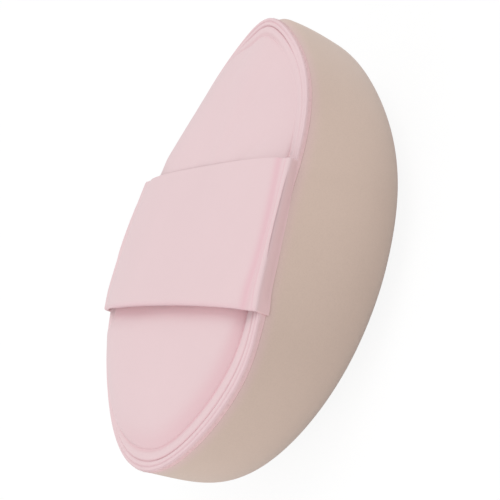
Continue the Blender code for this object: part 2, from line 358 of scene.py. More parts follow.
@dataclass(frozen=True)
class PadForm:
    """Sizes of the pad and the formulas of its outline, rim, crown and dome.

    The outline is an ellipse that narrows to both ends and has a waist where the band grips it. The
    band draws the sides in to its own straight fold line, and curls the sides of the rim up. A pair
    says where a step begins and how long it runs, but for band_press, which is right and left, and
    the powers, edges and falls of the crown, which are heel and tip.
    """

    length: float = 80.0 * MM
    width: float = 61.2 * MM
    end_taper: float = 0.072
    tip_draw: float = 0.388
    tip_power: float = 3.25
    heel_draw: float = 0.155
    heel_power: float = 2.0
    waist_draw: float = 4.35 * MM
    waist_place: float = 6.0 * MM
    waist_reach: float = 22.2 * MM
    waist_power: float = 3.63
    curl_rise: float = 2.3 * MM
    curl_place: float = -1.7 * MM
    curl_reach: float = 17.8 * MM
    curl_power: float = 2.8
    tip_rise: float = 1.4 * MM
    tip_rise_power: float = 4.4
    dome_depth: float = 20.95 * MM
    dome_power: float = 4.3
    face_shift: float = 1.6 * MM
    face_cut: float = 0.5 * MM
    stack: float = 1.1 * MM
    crown_height: float = 4.65 * MM
    crown_tip_height: float = 3.2 * MM
    crown_press_power: float = 1.5
    crown_swell: float = 1.52 * MM
    swell_right: float = 0.42 * MM
    swell_aside: float = 0.35
    swell_start: float = 8.5 * MM
    swell_run: float = 3.0 * MM
    swell_flatness: int = 6
    swell_edge: float = 0.12
    swell_edge_reach: float = 4.0 * MM
    crown_powers: Pair = (2.2, 3.2)
    crown_edges: Pair = (0.66, 0.55)
    crown_flank_power: float = 2.3
    crown_flank_edge: float = 0.85
    crown_far_edge: float = 0.38
    far_edge_run: float = 4.0 * MM
    band_press: Pair = (0.14 * MM, 0.45 * MM)
    press_fade: Pair = (0.84, 0.1)
    crown_falls: Pair = (0.10, 0.45)
    flange_side: float = 5.1 * MM
    flange_flank: float = 3.2 * MM
    flange_tip: float = 3.15 * MM
    flange_heel: float = 3.7 * MM
    flange_power: float = 4.0
    far_flange: float = 0.38
    far_tip: Pair = (0.24, 0.32)
    far_heel: Pair = (-0.06, 0.75)
    near_side: float = 0.4
    near_start: Pair = (0.32, 0.25)
    near_end: Pair = (0.86, 0.12)
    flank_start: Pair = (0.05, 0.25)
    relief_start: Pair = (0.1, 0.25)
    relief_end: Pair = (0.97, -0.15)
    relief_loss: float = 0.75
    # These two shape the painted shade in the valley round the outline.
    valley_fade: Pair = (-0.05, 0.3)
    valley_at_ends: float = 0.55
    band_place: float = -1.0 * MM
    band_width: float = 25.0 * MM
    heel_span: float = 27.5 * MM
    tip_span: float = 25.0 * MM
    span_bulge: float = 0.35 * MM
    standoff: float = 0.62 * MM
    tuck_setback: float = 0.3 * MM
    tuck_run: float = 0.9 * MM
    tuck_power: int = 3
    strip_height: float = 0.95 * MM
    strip_drop: float = 0.25 * MM
    strip_drop_reach: float = 3.0 * MM
    strip_drop_power: float = 1.5
    strip_side_power: int = 8
    tip_pull: float = 0.28 * MM
    tip_belly: float = 0.85 * MM
    tip_nose_power: int = 8
    belly_start: float = 0.085
    belly_end: float = 0.42
    # Place, reach and level of a painted pink glow on the crown, in the shade under the band's heel
    # edge.
    painted_hem_glow: Triple = (0.1 * MM, 1.3 * MM, 0.55)
    ring_spread: float = 1.7
    steps: int = 540

    @property
    def turn(self) -> Points:
        """The angles of the outline's points."""
        return np.linspace(0, 2 * np.pi, self.steps, endpoint=False)

    @property
    def rightward(self) -> Points:
        """How far to the right each of the angles points, from -1 to 1."""
        return np.cos(self.turn)

    @property
    def tipward(self) -> Points:
        """How far to the tip each of the angles points, from -1 to 1."""
        return np.sin(self.turn)

    @property
    def rim_z(self) -> float:
        """Height of the rim's plane over the floor."""
        return self.stack + self.dome_depth - self.face_cut

    @property
    def flat_share(self) -> float:
        """Share of the dome's depth at which it is cut flat."""
        return 1 - self.face_cut / self.dome_depth

    @property
    def centre_y(self) -> float:
        """Shift along Y that puts the middle of the whole outline over the origin.

        Returns:
            Minus half of what the dome's leaning levels reach past the rim at the tip.
        """
        share = np.linspace(0, 1, 201)
        reach = self.length / 2 * self.dome_fullness(share) + self.face_shift * share
        return -float(reach.max() - self.length / 2) / 2

    def dome_fullness(self, share: Points) -> Points:
        """Width of a level of the dome, from 1 to 0 at its full depth: a superellipse."""
        return np.clip(1 - share**self.dome_power, 0, 1) ** (1 / self.dome_power)

    def waist(self, y: Points) -> Points:
        """How far the pad is drawn in at y: a flat-topped bell."""
        return self.waist_draw * bell(y - self.waist_place, self.waist_reach, self.waist_power)

    def end_shape(self, s: Points) -> Points:
        """Narrowing towards the ends: a straight taper times a drawn-in power at each end."""
        drawn = np.where(s > 0, self.tip_draw * np.abs(s) ** self.tip_power,
                         self.heel_draw * np.abs(s) ** self.heel_power)
        return (1 - self.end_taper * s) * (1 - drawn)

    def free_reach(self, y: Points, share: Points | float = 0.0) -> Points:
        """Half width of the pad without the band's tuck.

        Args:
            y: Places along the pad.
            share: Share of the dome's depth, with whose rest squared the waist fades.

        Returns:
            Half the width narrowed to the ends, less the waist, times the ellipse's round end.
        """
        s = np.clip(y / (self.length / 2), -1, 1)
        half = self.width / 2 * self.end_shape(s) - self.waist(y) * (1 - share) ** 2
        return half * np.sqrt(1 - s**2)

    def outwards(self, x: Points, y: Points) -> Points:
        """How far out x lies at y, from 0 on the middle line to 1 on the free outline."""
        return np.clip(np.abs(x) / np.maximum(self.free_reach(y), self.stack), 0, 1)

    def across_band(self, y: Points) -> Points:
        """Place across the band at y: 0 at its heel edge, 1 at its tip edge."""
        return (y - self.band_place) / self.band_width + 0.5

    def past_band(self, y: Points) -> Points:
        """How far y lies past the band's nearer edge; below 0 under the band."""
        return np.abs(y - self.band_place) - self.band_width / 2

    def span(self, y: Points) -> Points:
        """Half width of the band's fold line.

        Args:
            y: Places along the pad.

        Returns:
            A straight line from the heel edge to the tip edge, with a parabola's bow on it.
        """
        t = self.across_band(y)
        bow = self.span_bulge * np.clip(4 * t * (1 - t), 0, 1)
        return between(self.heel_span, self.tip_span, t) + bow

    def drop(self, x: Points, y: Points) -> Points:
        """How much further the cut edge reaches down where the band's heel edge is.

        Args:
            x: Places across the pad.
            y: Places along the pad.

        Returns:
            A bell along the edge, times a high power of how far out the place is.
        """
        away = y - self.band_place + self.band_width / 2
        near = bell(away, self.strip_drop_reach, self.strip_drop_power)
        return self.strip_drop * near * self.outwards(x, y) ** self.strip_side_power

    def tuck(self, y: Points) -> Points:
        """How much further the band draws the rim in: to its fold line, fading past its edges."""
        under = 0.5 * (1 - np.tanh((self.past_band(y) + self.tuck_setback) / self.tuck_run))
        return under * np.clip(self.free_reach(y) + self.standoff - self.span(y), 0, None)

    def side_reach(self, y: Points, share: Points | float = 0.0) -> Points:
        """Half width at y with the tuck, which fades with the depth as the waist does."""
        return self.free_reach(y, share) - self.tuck(y) * (1 - share) ** 2

    def tucked(self, flat: Points, share: float) -> Points:
        """Draw points in under the band, most at the rim and not at all at the middle.

        Args:
            flat: Points in the plane, N by 2.
            share: Share of the dome's depth at which they lie.

        Returns:
            The moved points: x loses the tuck times the cube of its own share of the reach.
        """
        x, y = flat[:, 0], flat[:, 1]
        pull = self.tuck(y) * self.outwards(x, y) ** self.tuck_power * (1 - share) ** 2
        return np.stack([x - np.sign(x) * pull, y], axis=1)

    def outline(self, turn: Points, share: float = 0.0) -> Points:
        """The free outline: an ellipse that narrows to its ends, with a waist.

        Args:
            turn: The angles.
            share: Share of the dome's depth.

        Returns:
            N by 2 points. At the tip the rim is drawn back, and the sponge just below it stands
            out, by a high power of the angle's sine.
        """
        belly = eased(share / self.belly_start)
        belly = belly * (1 - ramp(share, self.belly_start, self.belly_end))
        nose = self.tip_belly * belly - self.tip_pull * (1 - eased(share / self.belly_end))
        s = np.sin(turn)
        y = self.length / 2 * s
        half = self.width / 2 * self.end_shape(s) - self.waist(y) * (1 - share) ** 2
        nose = nose * np.clip(s, 0, 1) ** self.tip_nose_power
        return np.stack([half * np.cos(turn), y + nose], axis=1)

    def inset_outline(self, inset: Points | float, share: float = 0.0) -> Points:
        """The free outline moved inwards, square to itself.

        Args:
            inset: How far in, one number or one for each angle.
            share: Share of the dome's depth.

        Returns:
            N by 2 points.
        """
        nudge = 1e-4
        along = self.outline(self.turn + nudge, share) - self.outline(self.turn - nudge, share)
        along /= np.linalg.norm(along, axis=1, keepdims=True)
        inwards = np.stack([-along[:, 1], along[:, 0]], axis=1)
        return self.outline(self.turn, share) + np.reshape(inset, (-1, 1)) * inwards

    def rise(self, x: Points, y: Points) -> Points:
        """Lift of the rim's surface: the sides' curl under the band, and the turned-up tip.

        Args:
            x: Places across the pad.
            y: Places along the pad.

        Returns:
            A bell along the pad times the square of how far out the place is, and a power of y.
        """
        curl = self.curl_rise * bell(y - self.curl_place, self.curl_reach, self.curl_power)
        tip = self.tip_rise * np.clip(y / (self.length / 2), 0, 1) ** self.tip_rise_power
        return curl * self.outwards(x, y) ** 2 + tip

    def far_side(self) -> Points:
        """How much an angle belongs to the left flank, where the crown rolls over the rim."""
        left = -self.rightward
        return np.where(self.tipward > 0, ramp(left, *self.far_tip), ramp(left, *self.far_heel))

    def near_flank(self) -> Points:
        """How much an angle belongs to the right flank past the band, where the crown is softer.

        Returns:
            The product of a smooth step at the right, one past the band and one before the tip.
        """
        s = self.tipward
        past = ramp(s, *self.near_start) * (1 - ramp(s, *self.near_end))
        return eased(self.rightward / self.near_side) * past

    def flange(self) -> Points:
        """Width of the pressed rim at each angle: widest at the side, narrowest at the tip.

        Returns:
            The side's width, which goes over to the ends' with a power of the angle's sine, and is
            only a share of that on the left flank.
        """
        s = self.tipward
        ends = np.where(s > 0, self.flange_tip, self.flange_heel)
        side = between(self.flange_side, self.flange_flank, ramp(s, *self.flank_start))
        width = between(side, ends, np.abs(s) ** self.flange_power)
        return width * between(1, self.far_flange, self.far_side())

    def relief_share(self) -> Points:
        """How deep the rim is pressed at each angle.

        Returns:
            1 by the heel, less by straight steps past the band, and 0 on the left flank.
        """
        s = self.tipward
        flank = slope(s, *self.relief_start) * slope(s, *self.relief_end)
        return (1 - self.relief_loss * flank) * (1 - self.far_side())

    def valley_shade_share(self) -> Points:
        """How deep the valley's painted shade is at each angle.

        Returns:
            Clear at the lower right, weaker at the heel, and 0 past the band and on the left flank.
        """
        s = self.tipward
        ends = between(self.valley_at_ends, 1, np.sqrt(1 - s**2))
        return (1 - slope(s, *self.valley_fade)) * (1 - self.far_side()) * ends

    def placed(self, flat: Points, z: Points | float) -> Points:
        """Points of the plane with their heights, in the frame's own place."""
        x, y = flat[:, 0], flat[:, 1]
        return np.stack([x, y + self.centre_y, np.broadcast_to(z, len(flat))], axis=1)

    def rim_ring(self, share: float, height: Points | float) -> Points:
        """A ring of the pressed rim: share is 0 at its outer edge and 1 in the valley."""
        flat = self.tucked(self.inset_outline(share * self.flange()), 0.0)
        return self.placed(flat, self.rim_z + height + self.rise(flat[:, 0], flat[:, 1]))

    def crown_rise(self, radial: float, y: Points) -> Points:
        """Height of the crowned face: full in the middle, round at its edge, lower to both ends.

        The tight band presses it down towards the band's tip edge, and it swells up again past that
        edge, as high as the band's own face and most on the right. Past the band its right flank
        runs out more softly, and its left flank is steeper clear of the band, where the cover rolls
        over towards the rim. Under the band both flanks are pressed down a little.

        Args:
            radial: Size of the ring against the valley's outline.
            y: Its points' places along the pad.

        Returns:
            The full height times a superellipse of radial, less the fall to the ends, a square of
            y, and less the press of the band, a hump of radial.
        """
        place = self.across_band(y)
        pressed = eased(place)
        free = (1 - pressed) ** self.crown_press_power
        full = between(self.crown_tip_height, self.crown_height, free)
        aside = radial * np.clip(self.rightward, 0, 1)
        swell = self.crown_swell + self.swell_right * eased(aside / self.swell_aside)
        swell = swell * (1 - radial**self.swell_flatness)
        full = full + swell * ramp(y, self.swell_start, self.swell_run)
        soft = self.near_flank()
        power = between(between(*self.crown_powers, pressed), self.crown_flank_power, soft)
        edge = between(between(*self.crown_edges, pressed), self.crown_flank_edge, soft)
        hem = bell(y - self.swell_start - self.swell_run, self.swell_edge_reach)
        edge = edge - self.swell_edge * hem * eased(self.rightward / self.near_side)
        clear = eased(self.past_band(y) / self.far_edge_run)
        edge = between(edge, self.crown_far_edge, self.far_side() * clear)
        heel_fall, tip_fall = self.crown_falls
        fall = np.where(y > 0, tip_fall, heel_fall) * (y / (self.length / 2)) ** 2
        press = between(*self.band_press, self.far_side()) * 4 * radial**2 * (1 - radial**2)
        press = press * (1 - clear) * (1 - ramp(place, *self.press_fade))
        return full * np.clip(1 - radial**power, 0, 1) ** edge * (1 - fall) - press

    def painted_hem_shading(self, y: Points) -> Points:
        """A painted pink glow on the crown, lighter than the leather, in the shade under the band's
        heel edge.
        """
        return hump(self.band_place - self.band_width / 2 - y, self.painted_hem_glow)

    def crown_ring(self, radial: float, sink: Points | float = 0.0, inset: float = 0.0,
                   crowned: bool = True) -> Points:
        """A ring of the crown: radial is 1 in the valley and 0 at the middle.

        Args:
            radial: Size of the ring against the valley's outline.
            sink: How far below the crown's face the ring lies.
            inset: How far inside the valley the largest ring lies.
            crowned: False for a flat ring at the rim's level.

        Returns:
            N by 3 points.
        """
        flat = self.tucked(self.inset_outline(self.flange() + inset) * radial, 0.0)
        rise = self.crown_rise(radial, flat[:, 1]) if crowned else 0.0
        return self.placed(flat, self.rim_z - sink + rise + self.rise(flat[:, 0], flat[:, 1]))

    def dome_ring(self, inset: float, share: float) -> Points:
        """A ring of the dome.

        Args:
            inset: How far inside the dome's outside the ring lies.
            share: Its share of the dome's depth.

        Returns:
            N by 3 points: the outline made smaller as a superellipse and shifted with the share,
            with the rim's lift fading down to the flat face.
        """
        flat = self.tucked(self.inset_outline(inset, share), share)
        x, y = flat[:, 0], flat[:, 1]
        full = self.dome_fullness(np.array(share))
        lift = self.rise(x, y) * np.clip(1 - share / self.flat_share, 0, 1)
        level = self.rim_z - self.stack - (self.dome_depth - inset) * share
        level = level - self.drop(x, y) * np.clip(1 - 4 * share, 0, 1)
        moved = np.stack([x * full, y * full + self.face_shift * share], axis=1)
        return self.placed(moved, level + lift)

    def depth_shares(self, last: float, count: int) -> Points:
        """Shares of the depth for rings, closer together where the dome turns under."""
        return last * (1 - (1 - np.linspace(0, 1, count)) ** self.ring_spread)

    def cup(self, inset: float, count: int) -> list[Points]:
        """The rings of an inner layer.

        Args:
            inset: How far inside the dome's outside the layer lies.
            count: How many rings it has.

        Returns:
            The rings from the rim down, the last with all its points in the one that closes it.
        """
        rings = [self.dome_ring(inset, share) for share in self.depth_shares(1.0, count)[:-1]]
        floor = rings[-1].mean(axis=0)
        floor[2] = self.rim_z - self.stack - (self.dome_depth - inset)
        return [*rings, np.broadcast_to(floor, rings[-1].shape)]


def signed_volume(verts: Points, quads: Points) -> float:
    """Volume inside a closed mesh, below 0 if its faces point inwards.

    Args:
        verts: V by 3 points.
        quads: F by 4 or F by 3 vertex numbers.

    Returns:
        The sum over the triangles of every face of a sixth of their box product.
    """
    total = 0.0
    for order in ((0, 1, 2), (0, 2, 3))[:quads.shape[1] - 2]:
        a, b, c = (verts[quads[:, k]] for k in order)
        total += float(np.einsum("ij,ij->i", a, np.cross(b, c)).sum()) / 6
    return total


def clean(mesh: bpy.types.Mesh) -> None:
    """Merge the points of each pole into one and drop the faces that this flattens.

    Args:
        mesh: The mesh to change.
    """
    work = bmesh.new()
    work.from_mesh(mesh)
    bmesh.ops.remove_doubles(work, verts=work.verts, dist=1e-7)
    bmesh.ops.dissolve_degenerate(work, dist=1e-8, edges=work.edges)
    work.to_mesh(mesh)
    work.free()


def mesh_piece(name: str, verts: Points, quads: Points, mat: Material,
               tones: dict[str, Points] | None = None, crease: float = 50.0) -> Piece:
    """Make a mesh piece from vertices and quads, with its faces outwards and its poles closed.

    Args:
        name: The piece's name.
        verts: V by 3 points.
        quads: F by 4 or F by 3 vertex numbers.
        mat: The finish.
        tones: For each named attribute a value from 0 to 1 at each vertex.
        crease: Edges sharper than this many degrees stay crisp.

    Returns:
        The piece, linked to the scene.
    """
    if signed_volume(verts, quads) < 0:
        quads = quads[:, ::-1]
    mesh = bpy.data.meshes.new(name)
    mesh.from_pydata(verts.tolist(), [], quads.tolist())
    mesh.update()
    for word, values in (tones or {}).items():
        attribute = mesh.attributes.new(word, "FLOAT", "POINT")
        attribute.data.foreach_set("value", values.reshape(-1).astype(np.float32))
    mesh.materials.append(mat)
    obj = linked(name, mesh)
    clean(mesh)
    mesh.shade_smooth()
    mesh.set_sharp_from_angle(angle=np.radians(crease))
    return obj


def loft(name: str, rings: list[Points], mat: Material, ring_closed: bool = False,
         tones: dict[str, list[Points | float]] | None = None) -> Piece:
    """A closed body through rings of points.

    Args:
        name: The piece's name.
        rings: Rings of N points each; one whose points are all the same closes an end.
        mat: The finish.
        ring_closed: True where the last ring joins the first, as round a hoop.
        tones: For each named attribute a list with one value, or one for each point, for each ring.

    Returns:
        The piece.
    """
    grid = np.stack(rings)
    rows, count = grid.shape[:2]
    index = np.arange(rows * count).reshape(rows, count)
    upper = index if ring_closed else index[:-1]
    lower = np.roll(index, -1, axis=0) if ring_closed else index[1:]
    corners = [upper, np.roll(upper, -1, axis=1), np.roll(lower, -1, axis=1), lower]
    quads = np.stack(corners, axis=-1)
    shades = {word: np.stack([np.broadcast_to(tone, count) for tone in values])
              for word, values in (tones or {}).items()}
    return mesh_piece(name, grid.reshape(-1, 3), quads.reshape(-1, 4), mat, shades)


@dataclass
class SpongePad:
    """The pad's inside and its sponge: skin, barrier film and foam core."""

    form: PadForm
    finishes: Finishes
    skin_wall: float = 2.0 * MM
    film_wall: float = 0.3 * MM
    gap: float = 0.3 * MM
    top_gap: float = 0.03 * MM
    top_round: float = 0.10 * MM
    edge_blush: float = 0.05
    round_rings: int = 6
    outer_rings: int = 72
    flat_rings: int = 12
    inner_rings: int = 30
    top_rings: int = 14
    skin_fill: float = 0.95
    core_fill: float = 0.9

    def skin(self) -> Piece:
        """The sponge skin: the dome outside, a cup inside, and a rounded upper edge.

        Returns:
            The piece. Its upper edge is a quarter round: x is inset by r(1-sin a) and z is lower by
            r(1-cos a).
        """
        form = self.form
        lift = form.stack - form.strip_height - self.top_gap
        upper = []
        for angle in np.linspace(0, QUARTER, self.round_rings):
            ring = form.dome_ring(self.top_round * (1 - np.sin(angle)), 0.0)
            ring[:, 2] += lift - self.top_round * (1 - np.cos(angle))
            upper.append(ring)
        shares = form.depth_shares(form.flat_share, self.outer_rings)[2:]
        side = [form.dome_ring(0.0, share) for share in shares]
        flat = shrunk(side[-1], side[-1].mean(axis=0), self.flat_rings)
        inner = form.cup(self.skin_wall, self.inner_rings)
        top_in = form.dome_ring(self.skin_wall, 0.0)
        top_in[:, 2] += lift
        rings = [*flat[::-1], *side[::-1], *upper[::-1], top_in, *inner]
        blush = [bell(share, self.edge_blush) for share in shares]
        tone = [0.0] * len(flat) + blush[::-1] + [1.0] * (len(upper) + 1) + [0.0] * len(inner)
        obj = loft("sponge_skin", rings, self.finishes.sponge.material(), tones={"groove": tone})
        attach(obj, "pad")
        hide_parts("applicator_skin")
        return obj

    def film(self) -> Piece:
        """The barrier film, a thin cup inside the skin.

        Returns:
            The piece: two of the dome's inner layers, one inside the other.
        """
        outside = self.skin_wall + self.gap
        rings = [*self.form.cup(outside, self.inner_rings)[::-1],
                 *self.form.cup(outside + self.film_wall, self.inner_rings)]
        obj = loft("make_up_barrier", rings, self.finishes.film.material())
        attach(obj, "pad")
        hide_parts("barrier_film")
        return obj

    def core(self) -> Piece:
        """The foam core: a domed cushion whose top follows the rim.

        Returns:
            The piece: an inner layer of the dome, closed by smaller rings at the rim's lift.
        """
        form = self.form
        inset = self.skin_wall + self.film_wall + 2 * self.gap
        edge = form.dome_ring(inset, 0.0)
        top = shrunk(edge, edge.mean(axis=0), self.top_rings)
        for ring in top:
            rise = form.rise(ring[:, 0], ring[:, 1] - form.centre_y)
            ring[:, 2] = form.rim_z - form.stack + rise
        obj = loft("cushion_core", [*top[::-1], *form.cup(inset, self.inner_rings)],
                   self.finishes.foam.material())
        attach(obj, "pad")
        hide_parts("foam_core")
        return obj


@dataclass
class SwollenCrown:
    """Cloth simulation of the crown's cover, swollen by its wadding between the rim and the band.

    A coarse copy of the crown, made larger, is held along the valley and where the band lies on it.
    Pressure from below swells the rest. What each point moved goes over to the fine cover.
    """

    form: PadForm
    rings: int = 18
    every: int = 6
    scale: float = 20.0
    frames: int = 20
    pressure: float = 4.0
    mass: float = 0.3
    quality: int = 8
    grip_run: float = 3 * MM
    cap: float = 0.30 * MM
    moved: Points = field(default_factory=lambda: np.zeros((2, 1, 3)))

    def coarse(self) -> tuple[Points, Points]:
        """The coarse copy's points and how firmly each is held.

        Returns:
            Rings by spokes by 3 points, and for each a hold from 1 in the valley and under the band
            to 0 clear of both.
        """
        radial = np.linspace(0, 1, self.rings)
        grid = np.stack([self.form.crown_ring(r)[::self.every] for r in radial])
        grid[0] = grid[0].mean(axis=0)
        grip = 1 - eased(self.form.past_band(grid[..., 1] - self.form.centre_y) / self.grip_run)
        grip[-1] = 1.0
        return grid, grip

    def cloth(self, grid: Points, grip: Points) -> Piece:
        """The coarse copy as a mesh with its cloth settings.

        Args:
            grid: Rings by spokes by 3 points, the first ring being the middle.
            grip: How firmly each point is held.

        Returns:
            The copy, linked to the scene.
        """
        rows, count = grid.shape[:2]
        index = np.arange((rows - 1) * count).reshape(rows - 1, count) + 1
        following = np.roll(index, -1, axis=1)
        quads = np.stack([index[:-1], index[1:], following[1:], following[:-1]], axis=-1)
        fan = np.stack([np.zeros(count, dtype=int), index[0], following[0]], axis=-1)
        verts = np.concatenate([grid[0, :1], grid[1:].reshape(-1, 3)]) * self.scale
        mesh = bpy.data.meshes.new("crown_cloth")
        mesh.from_pydata(verts.tolist(), [], quads.reshape(-1, 4).tolist() + fan.tolist())
        obj = linked("crown_cloth", mesh)
        group = obj.vertex_groups.new(name="held")
        weights = np.concatenate([grip[0, :1], grip[1:].reshape(-1)])
        for weight in np.unique(weights):
            group.add(np.flatnonzero(weights == weight).tolist(), float(weight), "REPLACE")
        cloth = obj.modifiers.new("cloth", "CLOTH")
        cloth.settings.quality = self.quality
        cloth.settings.mass = self.mass
        cloth.settings.vertex_group_mass = "held"
        cloth.settings.use_pressure = True
        cloth.settings.uniform_pressure_force = self.pressure
        cloth.settings.effector_weights.gravity = 0
        cloth.collision_settings.use_collision = False
        cloth.point_cache.frame_start = 1
        cloth.point_cache.frame_end = self.frames
        return obj

    def run(self) -> None:
        grid, grip = self.coarse()
        self.moved = np.zeros_like(grid)
        obj = self.cloth(grid, grip)
        scene = bpy.context.scene
        for number in range(1, self.frames + 1):
            scene.frame_set(number)
        mesh = obj.evaluated_get(bpy.context.evaluated_depsgraph_get()).to_mesh()
        points = np.empty(len(mesh.vertices) * 3)
        mesh.vertices.foreach_get("co", points)
        points = points.reshape(-1, 3) / self.scale
        middle = np.repeat(points[:1], grid.shape[1], axis=0)
        moved = np.concatenate([middle, points[1:]]).reshape(grid.shape) - grid
        size = np.linalg.norm(moved, axis=-1, keepdims=True)
        self.moved = moved * self.cap * np.tanh(size / self.cap) / np.maximum(size, 1e-9)
        LOG.info("crown cloth: moved up to %.2f mm, %.2f mm kept", size.max() / MM,
                 np.abs(self.moved).max() / MM)
        bpy.data.objects.remove(obj)
        scene.frame_set(1)

    def at(self, radial: float) -> Points:
        """What the simulation moved on a ring of the fine cover.

        Args:
            radial: Size of the ring against the valley's outline.

        Returns:
            N by 3 moves, read between the coarse rings and the coarse spokes.
        """
        place = radial * (self.rings - 1)
        low = min(int(place), self.rings - 2)
        ring = between(self.moved[low], self.moved[low + 1], place - low)
        closed = np.concatenate([ring, ring[:1]])
        spokes = np.arange(len(closed)) * self.every
        fine = np.arange(self.form.steps)
        return np.stack([np.interp(fine, spokes, closed[:, k]) for k in range(3)], axis=1)


@dataclass
class PressedBack:
    """The back of the puff: crowned cover, wadding, and the binding ring with its fuzzy strip.

    Each ridge of the rim has its place and half width, as shares of the flange, and its height. The
    strip's shares are where its rings lie, from its lower edge up, and its nap is how raw each of
    them is, with the lip's last. The binding's walls are how far its inner side reaches down.
    """

    form: PadForm
    finishes: Finishes
    cover_wall: float = 0.8 * MM
    gap: float = 0.015 * MM
    binding_share: float = 0.455
    lip: Triple = (0.10, 0.085, 0.13 * MM)
    bead: Triple = (0.32, 0.105, 0.15 * MM)
    ridge: Triple = (0.68, 0.20, 0.20 * MM)
    ridge_power: float = 4.0
    groove_sink: float = 0.08 * MM
    valley_sink: float = 0.10 * MM
    seam_width: float = 0.022
    seam_depth: float = 0.24 * MM
    seam_side: float = 0.55
    seam_far: float = 0.3
    edge_round: float = 0.16 * MM
    # How strong the painted shade is in the grooves and the valley, and where the valley's shade
    # lies.
    painted_groove_shade: float = 0.55
    painted_valley_shade: float = 0.75
    valley_place: float = 0.02
    valley_run: float = 0.055
    foot_run: float = 0.04
    rim_rings: int = 34
    crown_rings: int = 44
    under_rings: int = 14
    wadding_rings: int = 20
    wadding_inset: float = 1.0 * MM
    strip_shares: tuple[float, ...] = (1.0, 0.8, 0.6, 0.4, 0.2)
    strip_nap: tuple[float, ...] = (1.0, 1.0, 0.95, 0.85, 0.65, 0.35)
    strip_turn: Pair = (0.1, -0.5)
    binding_rings: int = 30
    binding_walls: Pair = (0.4 * MM, 0.8 * MM)
    binding_foot: float = 0.15
    fill: float = 0.8
    nap_count: int = 4000
    nap_length: float = 0.25 * MM
    nap_shortest: float = 0.4
    nap_width: float = 0.02 * MM
    nap_lean: float = 0.9
    nap_lean_up: float = 0.6
    nap_corners: Triple = (0.0, 2.1, 4.2)
    nap_clear: float = 0.4 * MM
    nap_seed: int = 7

    def pressed(self, share: Points | float) -> Points:
        """Height of the rim's relief at a share of the flange: three ridges over a sunk ground."""
        ridges = [hump(share, (place, half, height + self.groove_sink), self.ridge_power)
                  for place, half, height in (self.lip, self.bead, self.ridge)]
        return sum(ridges) - between(self.groove_sink, self.valley_sink, share)

    def seam_share(self, share: float) -> Points:
        """How deep the seam of binding and cover is, round the rim: clear at the lower right."""
        clear = between(self.seam_far, 1, eased(self.form.rightward / self.seam_side))
        return clear * bell(share - self.binding_share, self.seam_width)

    def relief_shade(self, share: float) -> Points:
        """Painted shade that follows how deep the relief is at a share of the flange.

        Args:
            share: Share of the flange.

        Returns:
            Round the rim, from 0 on a ridge to 1 in a groove or seam, and the valley's painted shade
            inside the last ridge.
        """
        top = self.bead[2]
        tone = np.clip((top - self.pressed(share)) / (self.groove_sink + top), 0, 1)
        valley = slope(share, self.ridge[0], 1 - self.ridge[0])
        cut = np.maximum(tone * self.painted_groove_shade, self.seam_share(share))
        groove = cut * (1 - valley) * self.form.relief_share()
        return groove + tone * valley * self.painted_valley_shade * self.form.valley_shade_share()

    def rim(self, share: float) -> Points:
        """A ring of the rim with its relief, as deep at each angle as it is pressed there."""
        relief = self.pressed(share) - self.seam_depth * self.seam_share(share)
        return self.form.rim_ring(share, relief * self.form.relief_share())

    def cover(self) -> Piece:
        """The crowned leather cover: cut edge, broad ridge, valley and crown, as one closed sheet.

        Returns:
            The piece. The crown is the pad form's, joined to the valley by the sunk ground.
        """
        form = self.form
        edge = self.binding_share + self.gap / form.flange_side
        shares = np.linspace(edge, 1.0, self.rim_rings)
        rim = [self.rim(share) for share in shares]
        swollen = SwollenCrown(form)
        swollen.run()
        radial = np.cos(np.linspace(0, QUARTER, self.crown_rings + 1)[1:-1])
        foot = self.pressed(1.0) * form.relief_share()
        face = [form.crown_ring(r, -foot * bell(1 - r, self.foot_run)) + swollen.at(r)
                for r in radial]
        top = pole(form.crown_ring(0.0)) + swollen.at(0.0)[0]
        inside = np.cos(np.linspace(0, QUARTER, self.under_rings)[:-1])
        under = [form.crown_ring(r, self.cover_wall) for r in inside]
        under_top = pole(form.crown_ring(0.0, self.cover_wall))
        skirt = form.rim_ring(edge, -self.cover_wall)
        rings = [top, *face[::-1], *rim[::-1], skirt, *under, under_top]
        # The valley's foot, the grooves and the seam get painted shade.
        foot_shade = self.painted_valley_shade * form.valley_shade_share()
        rolls = [foot_shade * bell(1 - r - self.valley_place, self.valley_run) for r in radial]
        depths = [self.relief_shade(share) for share in shares]
        tone = [0.0, *rolls[::-1], *depths[::-1], *[1.0] * (len(under) + 2)]
        # A painted pink glow in the shade under the band's heel edge, as the nap attribute.
        hem = [form.painted_hem_shading(ring[:, 1] - form.centre_y) for ring in face]
        hem = [0.0, *hem[::-1], *[0.0] * (len(rim) + len(under) + 2)]
        obj = loft("crowned_back", rings, self.finishes.leather.material(),
                   tones={"groove": tone, "nap": hem})
        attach(obj, "pad")
        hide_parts("back_cover")
        return obj

    def wadding(self) -> Piece:
        """The lens of wadding under the crown.

        Returns:
            The piece: the crown's rings sunk under the cover, over flat rings at the rim's level.
        """
        form, inset = self.form, self.wadding_inset
        radial = np.cos(np.linspace(0, QUARTER, self.wadding_rings)[:-1])
        upper = [form.crown_ring(r, form.stack, inset) for r in radial]
        lower = [form.crown_ring(r, self.cover_wall, inset, crowned=False) for r in radial]
        top = pole(form.crown_ring(0.0, form.stack))
        low = pole(form.crown_ring(0.0, self.cover_wall, crowned=False))
        obj = loft("crown_wadding", [top, *upper[::-1], *lower, low],
                   self.finishes.wadding.material())
        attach(obj, "pad")
        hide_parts("back_wadding")
        return obj

